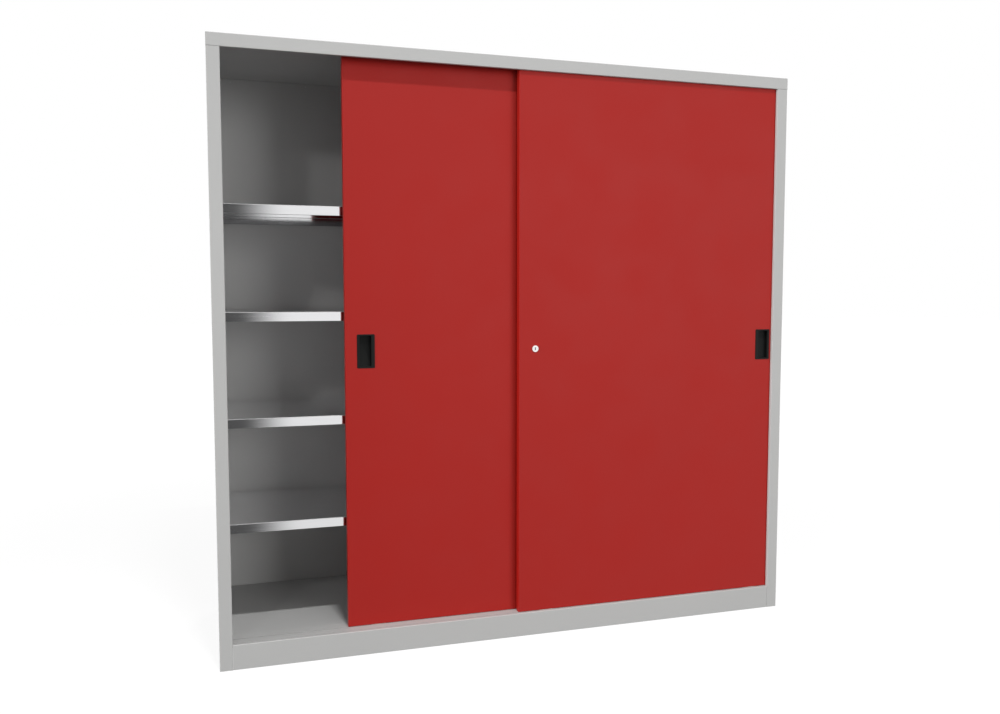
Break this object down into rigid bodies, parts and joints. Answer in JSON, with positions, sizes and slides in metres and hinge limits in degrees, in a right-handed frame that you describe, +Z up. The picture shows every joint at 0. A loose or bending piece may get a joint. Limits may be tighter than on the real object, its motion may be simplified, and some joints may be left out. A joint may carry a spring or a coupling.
{
  "type": "sliding door cabinet",
  "caption": "Wide steel storage cabinet with two red sliding doors hung from a top track in a light grey carcass, adjustable shelves in two bays, recessed pulls and a cam lock.",
  "frame": {"origin": "on the floor, at the middle of the cabinet's width and depth", "axes": "+X along the width, to the right as seen from the front; +Y from the front to the back; +Z up"},
  "size_m": [2, 0.6, 1.95],
  "materials": {
    "grey_paint": "fine powder coat, satin",
    "red_paint": "fine powder coat, satin",
    "bright_steel": "bright galvanised sheet",
    "zinc_steel": "zinc plated",
    "chrome": "polished chrome",
    "black_plastic": "fine moulded grain",
    "nylon": "natural nylon",
    "rubber": "matt black rubber"
  },
  "bodies": {
    "carcass": {"left_side_panel": "grey_paint", "right_side_panel": "grey_paint", "top_panel": "grey_paint", "plinth": "grey_paint", "floor_panel": "grey_paint", "back_panel_left": "grey_paint", "back_panel_right": "grey_paint", "back_screws": "zinc_steel", "centre_partition": "grey_paint", "base_crossmember": "grey_paint", "top_track": "zinc_steel", "track_rivets": "zinc_steel", "bottom_rail": "grey_paint", "left_wall_racks": "zinc_steel", "partition_left_racks": "zinc_steel", "partition_right_racks": "zinc_steel", "right_wall_racks": "zinc_steel", "shelf_left_1": "bright_steel", "shelf_left_2": "bright_steel", "shelf_left_3": "bright_steel", "shelf_left_4": "bright_steel", "shelf_right_1": "bright_steel", "shelf_right_2": "bright_steel", "shelf_right_3": "bright_steel", "shelf_right_4": "bright_steel", "left_shelf_clips": "zinc_steel", "right_shelf_clips": "zinc_steel", "door_buffers": "rubber"},
    "left_door": {"left_door_panel": "red_paint", "left_door_stiffener": "red_paint", "left_door_handle": "black_plastic", "left_door_hangers": "zinc_steel", "left_door_axles": "zinc_steel", "left_door_fasteners": "zinc_steel", "left_door_guides": "nylon", "lock_keeper": "zinc_steel"},
    "right_door": {"right_door_panel": "red_paint", "right_door_stiffener": "red_paint", "right_door_handle": "black_plastic", "right_door_hangers": "zinc_steel", "right_door_axles": "zinc_steel", "right_door_fasteners": "zinc_steel", "right_door_guides": "nylon", "lock_barrel": "chrome", "lock_nut": "zinc_steel"},
    "left_roller_1": {"left_door_roller_1": "nylon"},
    "left_roller_2": {"left_door_roller_2": "nylon"},
    "right_roller_1": {"right_door_roller_1": "nylon"},
    "right_roller_2": {"right_door_roller_2": "nylon"},
    "lock_core": {"lock_plug": "chrome", "lock_cam": "zinc_steel", "lock_cam_screw": "zinc_steel"}
  },
  "joints": [
    {"name": "left_door_slide", "type": "slide", "parent": "carcass", "child": "left_door", "axis": [1, 0, 0], "range_m": [-0.397, 0.577]},
    {"name": "right_door_slide", "type": "slide", "parent": "carcass", "child": "right_door", "axis": [1, 0, 0], "range_m": [-0.974, 0]},
    {"name": "left_roller_1_spin", "type": "hinge", "parent": "left_door", "child": "left_roller_1", "pos_m": [-0.474, -0.2415, 1.9375], "axis": [0, 1, 0], "continuous": true},
    {"name": "left_roller_2_spin", "type": "hinge", "parent": "left_door", "child": "left_roller_2", "pos_m": [0.294, -0.2415, 1.9375], "axis": [0, 1, 0], "continuous": true},
    {"name": "right_roller_1_spin", "type": "hinge", "parent": "right_door", "child": "right_roller_1", "pos_m": [0.103, -0.2765, 1.9375], "axis": [0, 1, 0], "continuous": true},
    {"name": "right_roller_2_spin", "type": "hinge", "parent": "right_door", "child": "right_roller_2", "pos_m": [0.871, -0.2765, 1.9375], "axis": [0, 1, 0], "continuous": true},
    {"name": "lock_turn", "type": "hinge", "parent": "right_door", "child": "lock_core", "pos_m": [0.0405, -0.289, 0.989], "axis": [0, -1, 0], "range_deg": [0, 90]}
  ],
  "couplings": [
    {"joint": "left_roller_1_spin", "follows": "left_door_slide", "rad_per_m": 125},
    {"joint": "left_roller_2_spin", "follows": "left_door_slide", "rad_per_m": 125},
    {"joint": "right_roller_1_spin", "follows": "right_door_slide", "rad_per_m": 125},
    {"joint": "right_roller_2_spin", "follows": "right_door_slide", "rad_per_m": 125}
  ]
}
